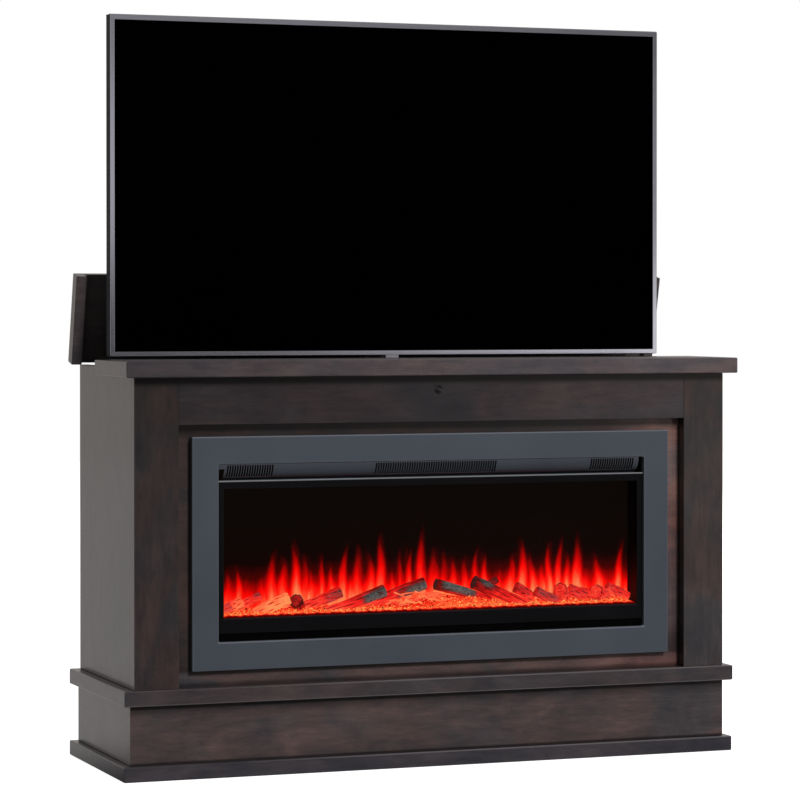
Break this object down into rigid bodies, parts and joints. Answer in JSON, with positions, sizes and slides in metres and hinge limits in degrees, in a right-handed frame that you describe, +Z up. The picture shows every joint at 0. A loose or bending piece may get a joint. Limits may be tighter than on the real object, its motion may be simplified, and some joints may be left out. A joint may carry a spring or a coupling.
{
  "type": "electric fireplace tv stand",
  "caption": "Dark wooden media cabinet with a wide electric fireplace in its front and a motor lift that raises a flat television through a hinged lid at the back.",
  "frame": {"origin": "on the floor, under the centre of the whole object's box with the television raised and the lid open", "axes": "+Z up, +X to the viewer's right, the fireplace faces -Y"},
  "size_m": [1.325, 0.4527, 1.5319],
  "materials": {
    "stained_wood": "dark stained maple, satin lacquer",
    "back_board": "dark laminated board",
    "slate_metal": "matte slate paint",
    "black_metal": "matte black paint",
    "zinc_steel": "zinc plated",
    "heater_alloy": "plain fins",
    "gunmetal": "dark anodised, satin",
    "black_plastic": "moulded, matte",
    "lens_plastic": "gloss lens",
    "screen_glass": "dark screen",
    "clear_glass": "clear tempered",
    "flame_acrylic": "flame picture, lit from behind",
    "ember_resin": "translucent, lit from below",
    "log_resin": "cast resin, bark texture",
    "circuit_board": "circuit board",
    "bright_foil": "bright foil"
  },
  "bodies": {
    "cabinet": {"base_slab": "stained_wood", "plinth_front": "stained_wood", "plinth_left": "stained_wood", "plinth_right": "stained_wood", "plinth_back": "stained_wood", "ledge_front": "stained_wood", "ledge_left": "stained_wood", "ledge_right": "stained_wood", "side_panel_left": "stained_wood", "side_panel_right": "stained_wood", "face_stile_left": "stained_wood", "face_stile_right": "stained_wood", "face_rail_top": "stained_wood", "ir_eye": "lens_plastic", "surround_panel": "stained_wood", "firebox_shelf": "stained_wood", "partition_panel": "back_board", "back_panel": "back_board", "fixed_top": "stained_wood", "hinge_rail": "stained_wood", "hinge_frame_leaf": "zinc_steel", "hinge_pin": "zinc_steel", "trim_frame": "slate_metal", "vent_bar": "slate_metal", "glass_frame": "black_metal", "front_glass": "clear_glass", "shell_bottom": "black_metal", "shell_top": "black_metal", "shell_wrap": "black_metal", "flame_screen": "flame_acrylic", "ember_bed": "ember_resin", "led_board": "circuit_board", "log_1": "log_resin", "log_2": "log_resin", "log_3": "log_resin", "log_4": "log_resin", "log_5": "log_resin", "log_6": "log_resin", "log_7": "log_resin", "flame_motor": "black_plastic", "blower_housing": "zinc_steel", "heater_element": "heater_alloy", "control_board": "circuit_board", "lift_base_plate": "zinc_steel", "lift_motor": "black_plastic", "lift_control_box": "black_plastic", "lift_outer_column": "zinc_steel"},
    "lift_middle": {"lift_middle_column": "zinc_steel"},
    "tv_carriage": {"lift_inner_column": "zinc_steel", "tv_crossbar": "black_metal", "tv_rail_left": "black_metal", "tv_rail_right": "black_metal", "tv_bezel": "gunmetal", "tv_screen": "screen_glass", "tv_back_cover": "black_plastic"},
    "lid": {"lid_panel": "stained_wood", "hinge_lid_leaf": "zinc_steel"},
    "flame_rod": {"flame_rod": "bright_foil"},
    "fan_rotor": {"fan_rotor": "black_metal"}
  },
  "joints": [
    {"name": "tv_lift", "type": "slide", "parent": "cabinet", "child": "tv_carriage", "axis": [0, 0, 1], "range_m": [-0.735, 0]},
    {"name": "stage_lift", "type": "slide", "parent": "cabinet", "child": "lift_middle", "axis": [0, 0, 1], "range_m": [-0.3675, 0]},
    {"name": "lid_hinge", "type": "hinge", "parent": "cabinet", "child": "lid", "pos_m": [0, 0.21134, 0.8101], "axis": [-1, 0, 0], "range_deg": [0, 25]},
    {"name": "flame_rod_spin", "type": "hinge", "parent": "cabinet", "child": "flame_rod", "pos_m": [0, -0.06026, 0.3017], "axis": [1, 0, 0], "continuous": true},
    {"name": "fan_spin", "type": "hinge", "parent": "cabinet", "child": "fan_rotor", "pos_m": [0, -0.11406, 0.6096], "axis": [1, 0, 0], "continuous": true}
  ],
  "couplings": [
    {"joint": "stage_lift", "follows": "tv_lift", "ratio": 0.5}
  ]
}
